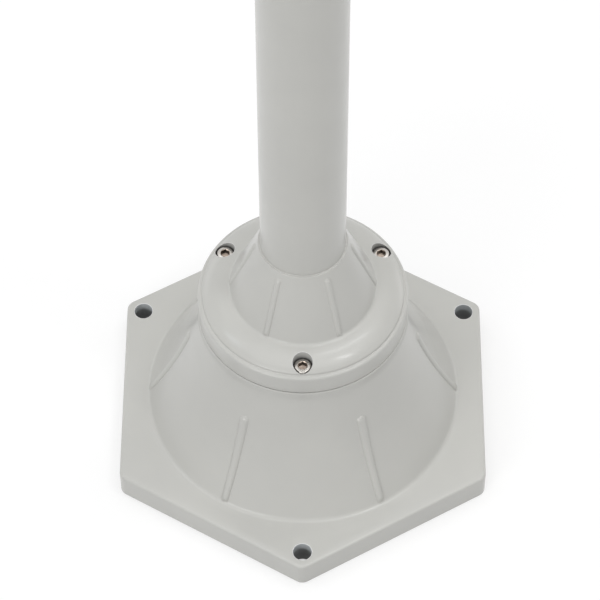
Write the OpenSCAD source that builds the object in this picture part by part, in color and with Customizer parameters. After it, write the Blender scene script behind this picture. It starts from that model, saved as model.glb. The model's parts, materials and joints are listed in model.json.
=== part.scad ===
// Foot of a lamp post with the lower length of its round column.
// A hexagonal cast base with a flared bell stands on the ground. A ribbed collar
// casting is held on the bell by three cap screws and grips the foot of the column.
// Millimetres, Z up, origin on the ground at the centre of the base.
// One corner of the hexagon, with an anchor hole and a cap screw, points to -Y.

/* [Base plate] */
// Width of the hexagonal plate across its flats
plate_w = 270; // [240:1:330]
// Height of the plate's rim
plate_h = 22; // [18:1:28]
// Radius of the plate's vertical corners
plate_corner_r = 8; // [4:1:12]
// Thickness of the plate's rim and of the skin over it
plate_wall = 6; // [5:0.5:8]

/* [Anchor holes] */
// Diameter of the circle that the anchor holes lie on
anchor_circle_d = 283; // [276:1:286]
// Diameter of one anchor hole
anchor_hole_d = 13.5; // [9:0.5:15]
// Diameter of the solid boss round an anchor hole
anchor_boss_d = 28; // [24:1:34]

/* [Bell] */
// Height of the bell's top deck above the ground
bell_h = 130; // [100:1:170]
// Diameter of the bell where it meets the plate
bell_foot_d = 231; // [215:1:250]
// Diameter of the bell at its top
bell_top_d = 148; // [142:1:152]
// How far the flare bows inwards from a straight cone
bell_bow = 5; // [2:0.5:8]
// Thickness of the bell's wall
bell_wall = 5; // [4:0.5:7]
// Thickness of the bell's top deck
deck_t = 9; // [7:0.5:12]

/* [Ribs] */
// Number of ribs on the bell and on the collar
rib_count = 6; // [6:6:12]
// Width of a rib on the bell
bell_rib_w = 4.5; // [3:0.5:8]
// How far a rib stands out of the bell
bell_rib_h = 2.5; // [1.5:0.5:4]
// Distance from the top of the bell down to the head of its ribs
bell_rib_drop = 35; // [15:1:45]
// Width of a rib on the collar's cone
cone_rib_w = 3.5; // [2:0.5:6]
// How far a rib stands out of the cone
cone_rib_h = 1.6; // [1:0.2:3]

/* [Collar] */
// Diameter of the collar's side
collar_d = 151; // [144:1:156]
// Height of the collar's straight side
collar_side_h = 17; // [14:1:24]
// Diameter of the crease between the ring and the cone
crease_d = 104; // [98:1:110]
// Height of that crease above the collar's seat
crease_h = 27; // [22:1:34]
// Height of the whole collar above its seat
collar_h = 79; // [60:1:100]
// Thickness of the cone's lip round the column
cone_lip = 1.3; // [1:0.1:3]
// Thickness of the sleeve that grips the column
sleeve_wall = 6; // [5:0.5:8]
// Depth of the sleeve below the collar's seat
sleeve_drop = 50; // [36:1:60]
// Diameter of the spigot that centres the collar in the bell's deck
spigot_d = 100; // [92:1:106]
// Diameter of the way through for the cable, under the column's foot
cable_way_d = 50; // [36:1:52]

/* [Column] */
// Outside diameter of the column
column_d = 60; // [48:1:66]
// Wall of the column
column_wall = 3; // [2:0.25:5]
// Height of the column's open top above the ground
column_top = 600; // [400:5:1200]
// Clearance round the column in its sleeve
column_gap = 0.3; // [0.1:0.05:0.6]

/* [Fasteners] */
// Diameter of the circle that the cap screws lie on
screw_circle_d = 130; // [126:1:132]
// Nominal thread diameter of the cap screws
screw_d = 8; // [6:1:8]
// Length of a cap screw under its head
screw_length = 30; // [24:1:40]
// Height of the screw heads' tops above the collar's seat
screw_head_level = 20; // [17:0.5:24]
// Clearance round a screw head in its pocket
pocket_gap = 0.75; // [0.4:0.05:1.2]
// Nominal thread diameter of the set screws that hold the column
set_screw_d = 8; // [6:1:10]

/* [Hidden] */
$fn = 96;

paint = [0.73, 0.73, 0.71];
stainless = [0.78, 0.76, 0.73];
brass = [0.76, 0.62, 0.32];

fasteners = 3;              // anchor holes, cap screws and set screws
first_angle = -90;          // one of each points to -Y
rib_angle = first_angle + 180 / rib_count;
cut = 1;                    // how far a cutter runs past a face
sink = 2;                   // how deep a rib's root sits in its wall

// Base
corner_reach = plate_w / (2 * cos(30));
bell_foot_r = bell_foot_d / 2;
bell_top_r = bell_top_d / 2;
flare_steps = 12;
web_t = 4;
spigot_gap = 0.3;           // clearance round the spigot in the deck
spigot_wall = 4;
spigot_h = 6;
shoulder_t = 4;             // step in the sleeve that the column stands on
deck_hole_r = spigot_d / 2 + spigot_gap;
screw_boss_r = screw_d;
screw_boss_h = screw_length;

// Fasteners, in their usual proportions
head_d = 1.625 * screw_d;
head_h = screw_d;
hex_key = 0.75 * screw_d;
hex_depth = 0.5 * screw_d;
pocket_d = head_d + 2 * pocket_gap;
set_length = sleeve_wall + column_gap + 3;
set_z = bell_h - sleeve_drop / 2;
set_angle = first_angle + 180 / fasteners;
thread_gap = 0.1;
earth_d = 6;
earth_angle = first_angle + 60;
earth_z = plate_h + 16;
earth_boss_d = 16;
earth_boss_l = 12;          // how far the boss stands in from the bell's wall
earth_washer_t = 1.6;
earth_shank = earth_boss_l - earth_washer_t;

// Collar and column
bore_r = column_d / 2 + column_gap;
sleeve_r = bore_r + sleeve_wall;
cone_top = [bore_r + cone_lip, bell_h + collar_h];
cone_foot = [crease_d / 2, bell_h + crease_h];
seat_edge = 0.8;            // small chamfer that shows the collar's seam
core_wall = 5;              // wall between the cone and the core under it
column_foot = bell_h - sleeve_drop + shoulder_t;

// The flare is one circular arc between the bell's foot and its top.
flare_run = bell_foot_r - bell_top_r;
flare_rise = bell_h - plate_h;
flare_chord = norm([flare_run, flare_rise]);
flare_r = pow(flare_chord / 2, 2) / (2 * bell_bow) + bell_bow / 2;
flare_lean = atan2(flare_run, flare_rise);
flare_half = asin(flare_chord / 2 / flare_r);
flare_centre = [
    (bell_foot_r + bell_top_r) / 2 + (flare_r - bell_bow) * cos(flare_lean),
    (plate_h + bell_h) / 2 + (flare_r - bell_bow) * sin(flare_lean)
];
// Point on the flare, t from 0 at the foot to 1 at the top, moved out by off.
function flare(t, off = 0) =
    let (a = 180 + flare_lean + flare_half * (1 - 2 * t))
    flare_centre + (flare_r - off) * [cos(a), sin(a)];

// Radius of the bell's outside at height z.
function flare_at(z) = flare_centre[0] - sqrt(pow(flare_r, 2) - pow(z - flare_centre[1], 2));
earth_face_r = flare_at(earth_z) - bell_wall - earth_boss_l;

// The ring's crown is an arc from the crease out to the top of the straight side.
crown_edge = 1.5;
crown_rise = 2.4;
crown_steps = 8;
crown_in = [crease_d / 2, bell_h + crease_h];
crown_out = [collar_d / 2 - crown_edge, bell_h + collar_side_h + crown_edge];
function crown(t) =
    crown_in + t * (crown_out - crown_in) + [0, crown_rise * (1 - pow(2 * t - 1, 2))];

module spread(n, a0) {
    for (i = [0 : n - 1])
        rotate([0, 0, a0 + i * 360 / n]) children();
}

// Hexagon with rounded corners, one corner to -Y.
module hexagon_outline(inset) {
    r = plate_corner_r - min(inset, plate_corner_r - 1);
    reach = corner_reach - (inset + r) / cos(30);
    polygon([
        for (i = [0 : 5])
            for (k = [-3 : 3])
                let (a = first_angle + 60 * i)
                reach * [cos(a), sin(a)] + r * [cos(a + 10 * k), sin(a + 10 * k)]
    ]);
}

module bell_body() {
    rotate_extrude()
        polygon(concat(
            [[0, 0], [bell_foot_r - sink, 0]],
            [for (i = [0 : flare_steps]) flare(i / flare_steps)],
            [[0, bell_h]]
        ));
}

module bell_hollow() {
    under_deck = bell_h - deck_t;
    rotate_extrude()
        polygon(concat(
            [[0, -cut], [bell_foot_r - bell_wall, -cut]],
            [for (i = [0 : flare_steps])
                let (p = flare(i / flare_steps, -bell_wall))
                [p[0], min(p[1], under_deck)]],
            [[0, under_deck]]
        ));
}

// One rib that follows the flare, lying in the X-Z plane.
module bell_rib() {
    top = 1 - bell_rib_drop / flare_rise;
    rotate([90, 0, 0])
        linear_extrude(bell_rib_w, center = true)
            polygon(concat(
                [for (i = [0 : flare_steps]) flare(top * i / flare_steps, bell_rib_h)],
                [for (i = [flare_steps : -1 : 0]) flare(top * i / flare_steps, -sink)]
            ));
}

module plate_hollow() {
    translate([0, 0, -cut])
        linear_extrude(plate_h - plate_wall + cut)
            hexagon_outline(plate_wall);
}

// Webs under the plate, from the rim in to the bell's wall.
module plate_webs() {
    inner = bell_foot_r - 2 * bell_wall;
    intersection() {
        spread(6, first_angle + 30)
            translate([inner, -web_t / 2, 0])
                cube([plate_w / 2 - inner - sink, web_t, plate_h - sink]);
        linear_extrude(plate_h) hexagon_outline(sink);
    }
}

// Bosses inside the bell for the cap screws and the earth screw, kept behind its skin.
module bell_bosses() {
    intersection() {
        union() {
            spread(fasteners, first_angle)
                translate([screw_circle_d / 2, 0, bell_h - screw_boss_h])
                    cylinder(h = screw_boss_h, r = screw_boss_r);
            at_earth_boss(0)
                translate([0, 0, -2 * earth_boss_l])
                    cylinder(h = 2 * earth_boss_l, d = earth_boss_d);
        }
        bell_body();
    }
}

module base_casting() {
    color(paint) difference() {
        union() {
            difference() {
                union() {
                    linear_extrude(plate_h) hexagon_outline(0);
                    bell_body();
                }
                bell_hollow();
                plate_hollow();
            }
            spread(rib_count, rib_angle) bell_rib();
            plate_webs();
            spread(fasteners, first_angle) {
                translate([anchor_circle_d / 2, 0, 0])
                    intersection() {
                        cylinder(h = plate_h - sink, d = anchor_boss_d);
                        translate([-anchor_circle_d / 2, 0, 0])
                            rotate([0, 0, -first_angle])
                                linear_extrude(plate_h) hexagon_outline(sink);
                    }
            }
            bell_bosses();
        }
        translate([0, 0, bell_h - deck_t - cut])
            cylinder(h = deck_t + 2 * cut, r = deck_hole_r);
        spread(fasteners, first_angle) {
            translate([anchor_circle_d / 2, 0, -cut])
                cylinder(h = plate_h + 2 * cut, d = anchor_hole_d);
            translate([screw_circle_d / 2, 0, bell_h - screw_boss_h - cut])
                cylinder(h = screw_boss_h + 2 * cut, d = screw_d + 2 * thread_gap);
        }
        at_earth_boss(0)
            translate([0, 0, -earth_boss_l])
                cylinder(h = earth_boss_l + cut, d = earth_d + 2 * thread_gap);
    }
}

// Closed section of the collar, turned round the column's axis.
module collar_turned() {
    foot = bell_h - sleeve_drop;
    rotate_extrude()
        polygon(concat(
            [[cable_way_d / 2, foot], [sleeve_r, foot], [sleeve_r, bell_h + crease_h]],
            [[spigot_d / 2 - spigot_wall, bell_h + crease_h - core_wall]],
            [[spigot_d / 2 - spigot_wall, bell_h - spigot_h], [spigot_d / 2, bell_h - spigot_h]],
            [[spigot_d / 2, bell_h], [collar_d / 2 - seat_edge, bell_h]],
            [[collar_d / 2, bell_h + seat_edge], [collar_d / 2, bell_h + collar_side_h]],
            [for (i = [crown_steps : -1 : 0]) crown(i / crown_steps)],
            [cone_top, [bore_r, bell_h + collar_h]],
            [[bore_r, column_foot], [cable_way_d / 2, column_foot]]
        ));
}

// One rib down the cone, lying in the X-Z plane.
module cone_rib() {
    out = cone_rib_h;
    rotate([90, 0, 0])
        linear_extrude(cone_rib_w, center = true)
            polygon([
                cone_top + [-sink / 2, -out], cone_top + [out / 2, -2 * out],
                cone_foot + [out, out], cone_foot + [out, -sink], cone_foot + [-sink, -sink]
            ]);
}

module collar_casting() {
    seat = bell_h + screw_head_level - head_h;
    color(paint) difference() {
        union() {
            collar_turned();
            spread(rib_count, rib_angle) cone_rib();
        }
        spread(fasteners, first_angle)
            translate([screw_circle_d / 2, 0, 0]) {
                translate([0, 0, seat]) cylinder(h = crease_h, d = pocket_d);
                translate([0, 0, bell_h - cut]) cylinder(h = collar_side_h + cut, d = screw_d + 1);
            }
        spread(fasteners, set_angle)
            translate([bore_r - cut, 0, set_z])
                rotate([0, 90, 0])
                    cylinder(h = sleeve_wall + 2 * cut, d = set_screw_d + 2 * thread_gap);
    }
}

module column_tube() {
    color(paint)
        translate([0, 0, column_foot])
            difference() {
                cylinder(h = column_top - column_foot, d = column_d);
                translate([0, 0, -cut])
                    cylinder(h = column_top - column_foot + 2 * cut, d = column_d - 2 * column_wall);
            }
}

// Face of the earth boss, turned so that Z points out of it to the column's axis.
module at_earth_boss(lift) {
    rotate([0, 0, earth_angle])
        translate([earth_face_r - lift, 0, earth_z])
            rotate([0, -90, 0]) children();
}

// Hexagon socket of a key size, sunk depth into the top at z = 0.
module key_socket(key, depth) {
    translate([0, 0, -depth])
        cylinder(h = depth + cut, r = key / (2 * cos(30)), $fn = 6);
}

// Socket head cap screw, its head's top at z = 0.
module cap_screw() {
    color(stainless) difference() {
        union() {
            translate([0, 0, -head_h]) cylinder(h = head_h, d = head_d);
            translate([0, 0, -head_h - screw_length])
                cylinder(h = screw_length + sink, d = screw_d);
        }
        key_socket(hex_key, hex_depth);
    }
}

// Set screw with a flat point, its outer end at z = 0.
module set_screw() {
    color(stainless) difference() {
        translate([0, 0, -set_length]) cylinder(h = set_length, d = set_screw_d);
        key_socket(set_screw_d / 2, set_screw_d / 2);
    }
}

module place_cap_screw(i) {
    rotate([0, 0, first_angle + (i - 1) * 360 / fasteners])
        translate([screw_circle_d / 2, 0, bell_h + screw_head_level])
            rotate([0, 0, 30]) cap_screw();
}

module place_set_screw(i) {
    rotate([0, 0, set_angle + (i - 1) * 360 / fasteners])
        translate([column_d / 2 + set_length, 0, set_z])
            rotate([0, 90, 0]) set_screw();
}

// Hexagon head screw with a cross slot, on its washer.
module earth_screw() {
    head_t = 0.65 * earth_d;
    head_w = 1.7 * earth_d;
    slot_w = 1.2;
    color(brass) at_earth_boss(earth_washer_t) {
        difference() {
            cylinder(h = head_t, r = head_w / (2 * cos(30)), $fn = 6);
            translate([-head_w, -slot_w / 2, head_t / 2]) cube([2 * head_w, slot_w, head_t]);
        }
        translate([0, 0, -earth_shank - earth_washer_t])
            cylinder(h = earth_shank + earth_washer_t + head_t / 4, d = earth_d);
    }
}

module earth_washer() {
    color(brass) at_earth_boss(0) difference() {
        cylinder(h = earth_washer_t, d = 2.1 * earth_d);
        translate([0, 0, -cut]) cylinder(h = earth_washer_t + 2 * cut, d = earth_d + 4 * thread_gap);
    }
}

base_casting();
collar_casting();
column_tube();
for (i = [1 : 3]) {
    place_cap_screw(i);
    place_set_screw(i);
}
earth_screw();
earth_washer();
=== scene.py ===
# %% [markdown]
# # The foot of a lamp post, finished in Blender
#
# The foot is two aluminium castings, a round tube and a few screws. The construction comes from the
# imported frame, and this script gives every piece its real surface: soft foundry radii, raised ribs,
# drilled holes, bright screws and a satin powder coat. All lengths are in metres.

# %% Load the frame
import json
import math

import bmesh
import bpy
import numpy as np
from mathutils import Matrix, Vector


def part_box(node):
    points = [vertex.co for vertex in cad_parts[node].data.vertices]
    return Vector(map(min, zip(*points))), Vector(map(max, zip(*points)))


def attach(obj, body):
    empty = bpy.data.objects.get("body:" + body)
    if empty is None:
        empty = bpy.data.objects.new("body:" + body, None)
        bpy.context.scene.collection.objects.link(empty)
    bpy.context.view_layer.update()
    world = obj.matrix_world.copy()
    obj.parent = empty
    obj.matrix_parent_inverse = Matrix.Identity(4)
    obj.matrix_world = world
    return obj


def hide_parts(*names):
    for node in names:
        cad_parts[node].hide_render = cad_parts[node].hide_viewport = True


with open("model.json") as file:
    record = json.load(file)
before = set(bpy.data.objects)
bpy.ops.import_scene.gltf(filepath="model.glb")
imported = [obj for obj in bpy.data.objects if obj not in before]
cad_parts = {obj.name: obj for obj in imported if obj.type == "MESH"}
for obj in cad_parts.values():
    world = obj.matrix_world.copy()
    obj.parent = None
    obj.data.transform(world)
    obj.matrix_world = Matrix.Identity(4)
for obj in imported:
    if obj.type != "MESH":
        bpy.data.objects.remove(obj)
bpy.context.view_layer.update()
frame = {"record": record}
MM = 0.001

# %% [markdown]
# ## Sizes
# Places come from the frame: a node's box or a mount's own numbers. Only what no box tells, such as a
# foundry radius or the bow of the bell, is a value here, in the maker's millimetres.

# %% Read the places that the frame states
mounts = {m["name"]: m for m in frame["record"]["mounts"]}
base_low, base_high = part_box("base_casting")
collar_low, collar_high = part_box("collar_casting")
tube_low, tube_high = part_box("column_tube")
screw_low, screw_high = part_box("cap_screw_1")
set_low, set_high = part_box("set_screw_2")

FIRST = math.radians(-90)                      # a corner, a hole and a screw point to -Y
PLATE_W = base_high.x - base_low.x
PLATE_H = mounts["anchor_holes"]["pos_m"][2]
ANCHOR_R = mounts["anchor_holes"]["dims"]["pcd_mm"] * MM / 2
HOLE_R = mounts["anchor_holes"]["dims"]["hole_r_mm"] * MM
BELL_H = base_high.z
COLLAR_R = (collar_high.x - collar_low.x) / 2
COLLAR_TOP = collar_high.z
SLEEVE_FOOT = collar_low.z
TUBE_R = (tube_high.x - tube_low.x) / 2
TUBE_BORE = mounts["column_top"]["dims"]["r_mm"] * MM
SCREW_R = -(screw_low.y + screw_high.y) / 2
SCREW_TOP = screw_high.z
HEAD_R = (screw_high.x - screw_low.x) / 2
print("plate", round(PLATE_W / MM, 1), "x", round(PLATE_H / MM, 1), "mm")
print("column", round(2 * TUBE_R / MM, 1), "mm")

# %% [markdown]
# ## Outlines with soft corners
# A casting has no sharp corner: the pattern maker gives each one a radius. So an outline is written as
# its corner points, each with a radius, and a short function turns every corner into an arc. A bevel on
# the finished mesh could do it too, but it would treat all the corners alike.

# %% Round the corners of an outline
def rounded(corners, steps=5):
    """Points (r, z) of a closed outline whose corners are (r, z, radius)."""
    points = []
    for i, (r, z, radius) in enumerate(corners):
        here = Vector((r, z))
        if radius == 0:
            points.append((here.x, here.y))
            continue
        back = (Vector(corners[i - 1][:2]) - here).normalized()
        ahead = (Vector(corners[(i + 1) % len(corners)][:2]) - here).normalized()
        half = back.angle(ahead) / 2
        reach = radius / math.tan(half)
        centre = here + (back + ahead).normalized() * radius / math.sin(half)
        start = here + back * reach - centre
        stop = here + ahead * reach - centre
        turn = math.atan2(start.x * stop.y - start.y * stop.x, start.dot(stop))
        for k in range(steps + 1):
            point = centre + Matrix.Rotation(turn * k / steps, 2) @ start
            points.append((point.x, point.y))
    return points


def evenly(start, stop, count):
    """Numbers from start to stop in this many equal steps."""
    return [start + (stop - start) * k / count for k in range(count + 1)]


def spread_out(points, longest):
    """Adds points so that no step of the closed outline is longer than this."""
    result = []
    for (r1, z1), (r2, z2) in zip(points, points[1:] + points[:1]):
        pieces = max(1, math.ceil(math.dist((r1, z1), (r2, z2)) / longest))
        result += [(r1 + k / pieces * (r2 - r1), z1 + k / pieces * (z2 - z1)) for k in range(pieces)]
    return result


one_corner = rounded([(0, 0, 0), (10 * MM, 0, 2 * MM), (10 * MM, 10 * MM, 0)])
print("a round corner has", len(one_corner) - 2, "points")

# %% [markdown]
# ## The bell's flare
# The bell narrows from its foot to its deck along one circular arc that bows inwards by 5 mm. The arc
# is the same one that the construction uses.

# %% The arc of the flare
PLATE_WALL = 6 * MM
BELL_WALL = 5 * MM
DECK_T = 9 * MM
BELL_FOOT_R = 115.5 * MM
BELL_TOP_R = 74 * MM
BELL_BOW = 5 * MM

run, rise = BELL_FOOT_R - BELL_TOP_R, BELL_H - PLATE_H
FLARE_R = (math.hypot(run, rise) / 2) ** 2 / (2 * BELL_BOW) + BELL_BOW / 2
lean = math.atan2(run, rise)
FLARE_AT = Vector((
    (BELL_FOOT_R + BELL_TOP_R) / 2 + (FLARE_R - BELL_BOW) * math.cos(lean),
    (PLATE_H + BELL_H) / 2 + (FLARE_R - BELL_BOW) * math.sin(lean),
))


def flare(z, inward=0.0):
    """Radius of the flare at height z, moved inwards for the inner wall."""
    return FLARE_AT.x - math.sqrt((FLARE_R + inward) ** 2 - (z - FLARE_AT.y) ** 2)


def flare_points(z_from, z_to, count, inward=0.0):
    return [(flare(z, inward), z) for z in evenly(z_from, z_to, count)]


print("flare radius", round(FLARE_R / MM), "mm")

# %% [markdown]
# ## Node trees, written as formulas
# A tree of nodes can be clicked together by hand, but then nobody can read it in a script. Here a node's
# output is wrapped so that it adds and multiplies like a number, and each sign adds one Math node. The
# other helpers make a node with its inputs, a tree with named inputs, and a plain mesh from a tree.

# %% A node's output as a number
class Formula:
    """A node's output to calculate with: each +, -, *, / or ** adds a Math node to its tree."""

    def __init__(self, tree, socket):
        self.tree = tree
        self.socket = socket

    def math_node(self, operation, *values):
        node = self.tree.nodes.new("ShaderNodeMath")
        node.operation = operation
        for socket, value in zip(node.inputs, values):
            feed(self.tree, socket, value)
        return Formula(self.tree, node.outputs[0])

    def do(self, operation, *others):
        return self.math_node(operation, self, *others)

    def __add__(self, other):
        return self.do("ADD", other)

    def __sub__(self, other):
        return self.do("SUBTRACT", other)

    def __rsub__(self, other):
        return self.math_node("SUBTRACT", other, self)

    def __mul__(self, other):
        return self.do("MULTIPLY", other)

    def __truediv__(self, other):
        return self.do("DIVIDE", other)

    def __rtruediv__(self, other):
        return self.math_node("DIVIDE", other, self)

    def __pow__(self, other):
        return self.do("POWER", other)


def feed(tree, socket, value):
    """Links a formula or an output to an input socket, or writes a plain value on it."""
    if isinstance(value, Formula):
        value = value.socket
    if isinstance(value, bpy.types.NodeSocket):
        tree.links.new(value, socket)
    else:
        socket.default_value = value


def feed_all(tree, node, values):
    for label, value in values.items():
        feed(tree, node.inputs[label], value)


def add_node(tree, kind, values, **settings):
    """A new node with these settings, its inputs fed by name."""
    node = tree.nodes.new(kind)
    for label, setting in settings.items():
        setattr(node, label, setting)
    feed_all(tree, node, values)
    return node


def combine(tree, x, y, z):
    return add_node(tree, "ShaderNodeCombineXYZ", {"X": x, "Y": y, "Z": z}).outputs["Vector"]


print("a formula takes + - * / and **")

# %% Begin, end and run a tree
def new_tree(name, inputs):
    """A geometry tree and its named inputs as formulas; the source mesh comes in as Geometry."""
    tree = bpy.data.node_groups.new(name, "GeometryNodeTree")
    for label, kind in [("Geometry", "Geometry"), *inputs]:
        tree.interface.new_socket(label, in_out="INPUT", socket_type="NodeSocket" + kind)
    tree.interface.new_socket("Geometry", in_out="OUTPUT", socket_type="NodeSocketGeometry")
    entry = tree.nodes.new("NodeGroupInput")
    return tree, {socket.name: Formula(tree, socket) for socket in entry.outputs if socket.name}


def end_tree(tree, given, mesh):
    """Realizes instances, shades smooth, sets the material and sends the mesh out."""
    real = add_node(tree, "GeometryNodeRealizeInstances", {"Geometry": mesh})
    smooth = add_node(tree, "GeometryNodeSetShadeSmooth", {"Geometry": real.outputs["Geometry"]})
    paint = add_node(tree, "GeometryNodeSetMaterial", {
        "Geometry": smooth.outputs["Geometry"], "Material": given["Material"]})
    add_node(tree, "NodeGroupOutput", {"Geometry": paint.outputs["Geometry"]})
    print(tree.name, "has", len(tree.nodes), "nodes")


def set_inputs(modifier, values):
    """Sets a modifier's inputs by the identifiers of its tree's named sockets."""
    for item in modifier.node_group.interface.items_tree:
        if item.item_type == "SOCKET" and item.in_out == "INPUT" and item.name in values:
            modifier[item.identifier] = values[item.name]


def link(thing):
    bpy.context.scene.collection.objects.link(thing)
    return thing


def run_tree(name, source, tree, values):
    """Runs a tree on a source mesh once and returns the result as a plain object."""
    holder = link(bpy.data.objects.new(name + "_holder", source))
    modifier = holder.modifiers.new("rule", "NODES")
    modifier.node_group = tree
    set_inputs(modifier, values)
    graph = bpy.context.evaluated_depsgraph_get()
    mesh = bpy.data.meshes.new_from_object(holder.evaluated_get(graph))
    bpy.data.objects.remove(holder)
    print(name, len(mesh.vertices), "points,", len(mesh.polygons), "faces")
    return link(bpy.data.objects.new(name, mesh))


# %% [markdown]
# ## A casting as a rule: outline times angle
# Both castings are one outline turned round the axis, then changed by rules: the plate's outline is a
# hexagon and not a circle, and ribs stand out of the skin. Modelling the ribs as boxes and joining them
# would leave hard corners. Instead Geometry Nodes make a grid, one direction along the outline and one
# round the axis, and place each point by the rules. So a rib is part of the skin, with a round back, a
# round head and a foot that runs out softly.

# %% Where the angles go
NEAR_RIB = math.radians(4)
CALM = math.radians(16)


def angle_rule(given, angle, radius):
    """The angle to use, how far it is from the nearest rib, and how much wider the rib is here.

    Angles within NEAR_RIB of a rib are written for a rib at "Rib radius". Where the skin is narrower
    they spread, so that they stay on the rib's sides. Past CALM no angle has moved.
    """
    half_pitch = math.pi / given["Rib count"]
    offset = (angle - given["Rib angle"]).do("WRAP", half_pitch, half_pitch * -1.0)
    size = offset.do("ABSOLUTE")
    narrower = (given["Rib radius"] / radius).do("MAXIMUM", 1.0)
    wider = narrower ** given["Rib taper"]
    spread = narrower * wider
    near = size.do("MINIMUM", NEAR_RIB)
    between = (size - near).do("MINIMUM", CALM - NEAR_RIB)
    beyond = (size - CALM).do("MAXIMUM", 0.0)
    squeeze = (CALM - spread * NEAR_RIB) / (CALM - NEAR_RIB)
    from_rib = beyond + (near * spread + between * squeeze)
    return angle + offset.do("SIGN") * (from_rib - size), from_rib, wider


print("a rib's own angles lie within", round(math.degrees(NEAR_RIB), 1), "degrees of its middle")

# %% How far out the skin is, and how high a rib stands on it
SECTOR = math.radians(30)                      # from a corner of the hexagon to the middle of a side
SHARPEST = 1 * MM                              # the least radius of a corner
ROUND_BACK = 0.68                              # 0.5 makes the rib's section an ellipse, 1 a parabola


def plan_rule(given, angle, radius, hexagon):
    """Distance from the axis to a hexagon with round corners, or to a circle where hexagon is 0."""
    from_corner = (angle - FIRST).do("WRAP", SECTOR, -SECTOR).do("ABSOLUTE")
    inset = given["Plate half width"] - radius
    corner_r = (given["Corner radius"] - inset).do("MAXIMUM", SHARPEST)
    side = radius / (SECTOR - from_corner).do("COSINE")
    centre = (radius - corner_r) / math.cos(SECTOR)
    across = centre * from_corner.do("SINE")
    inside = (corner_r ** 2.0 - across ** 2.0).do("MAXIMUM", 0.0)
    corner = centre * from_corner.do("COSINE") + inside.do("SQRT")
    tangent = (corner_r * math.sin(SECTOR)).do("ARCTAN2", centre + corner_r * math.cos(SECTOR))
    in_corner = from_corner.do("LESS_THAN", tangent)
    hexagon_r = corner * in_corner + side * (1.0 - in_corner)
    return radius + hexagon * (hexagon_r - radius)


def rib_rule(given, skin_r, from_rib, wider, below_head, rib_on):
    """Height of a rib over the skin, with steep sides that meet the skin at a clear root."""
    aside = skin_r * from_rib.do("SINE")
    above_head = (below_head * -1.0).do("MAXIMUM", 0.0)
    distance = (aside ** 2.0 + above_head ** 2.0).do("SQRT")
    share = (distance / (given["Rib half width"] * wider)).do("MINIMUM", 1.0)
    return (1.0 - share ** 2.0) ** ROUND_BACK * rib_on * given["Rib height"]


print("halfway to its root a rib is", round((1 - 0.5 ** 2) ** ROUND_BACK, 2), "of its full height")

# %% The tree that turns an outline into a casting
OUTLINE_VALUES = ("radius_m", "height_m", "hexagon", "rib", "below_head_m", "out_r", "out_z")
GRID_WELD = 0.002 * MM                         # closes the grid where it meets itself


def sample(tree, row, name, index):
    """What the row of points stores under this name at this place in the row."""
    named = add_node(tree, "GeometryNodeInputNamedAttribute", {"Name": name}, data_type="FLOAT")
    node = add_node(tree, "GeometryNodeSampleIndex", {
        "Geometry": row, "Value": named.outputs["Attribute"], "Index": index}, data_type="FLOAT")
    return Formula(tree, node.outputs[0])


def count_points(tree, row):
    node = add_node(tree, "GeometryNodeAttributeDomainSize", {"Geometry": row})
    return Formula(tree, node.outputs["Point Count"])


def point_index(tree):
    return Formula(tree, tree.nodes.new("GeometryNodeInputIndex").outputs[0])


def casting_tree():
    """Grid of outline points by angles, placed on a hexagon or circle, with ribs standing out."""
    numbers = ("Plate half width", "Corner radius", "Rib count", "Rib angle", "Rib half width",
               "Rib height", "Rib radius", "Rib taper")
    tree, given = new_tree("turned_casting", [
        ("Angles", "Object"), ("Material", "Material"), *[(label, "Float") for label in numbers]])
    outline = given["Geometry"]
    angles = add_node(tree, "GeometryNodeObjectInfo", {"Object": given["Angles"]}).outputs["Geometry"]
    along_count, angle_count = count_points(tree, outline), count_points(tree, angles)
    grid = add_node(tree, "GeometryNodeMeshGrid", {"Vertices X": angle_count, "Vertices Y": along_count})
    index = point_index(tree)
    along = index.do("FLOORED_MODULO", along_count)
    turn = (index / along_count).do("FLOOR")

    radius, height, hexagon, rib_on, below_head, out_r, out_z = [
        sample(tree, outline, name, along) for name in OUTLINE_VALUES]
    angle, from_rib, wider = angle_rule(given, sample(tree, angles, "angle", turn), radius)
    skin_r = plan_rule(given, angle, radius, hexagon)
    lift = rib_rule(given, skin_r, from_rib, wider, below_head, rib_on)
    final_r = skin_r + lift * out_r
    place = combine(tree, final_r * angle.do("COSINE"), final_r * angle.do("SINE"), height + lift * out_z)

    put = add_node(tree, "GeometryNodeSetPosition", {"Geometry": grid.outputs["Mesh"], "Position": place})
    weld = add_node(tree, "GeometryNodeMergeByDistance", {
        "Geometry": put.outputs["Geometry"], "Distance": GRID_WELD})
    end_tree(tree, given, weld.outputs["Geometry"])
    return tree


CASTING = casting_tree()

# %% [markdown]
# ## What the rule is given
# The outline goes in as a row of points that carry their own values: radius, height, how hexagonal the
# section is there, whether a rib stands on it, and which way is out. The angles go in as a second row,
# close together at the hexagon's corners and across the ribs, and wide apart on the plain skin.

# %% Rows of points for the outline and the angles
ANGLE_STEP = math.radians(1.5)
ROUND = 2 * math.pi


def row_of_points(name, columns):
    """A mesh of loose points with one float attribute for each column."""
    mesh = bpy.data.meshes.new(name)
    mesh.vertices.add(len(next(iter(columns.values()))))
    for label, values in columns.items():
        layer = mesh.attributes.new(label, "FLOAT", "POINT")
        layer.data.foreach_set("value", np.array(values, np.float32))
    return mesh


def unit(vectors):
    return vectors / np.linalg.norm(vectors, axis=1)[:, None]


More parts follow.
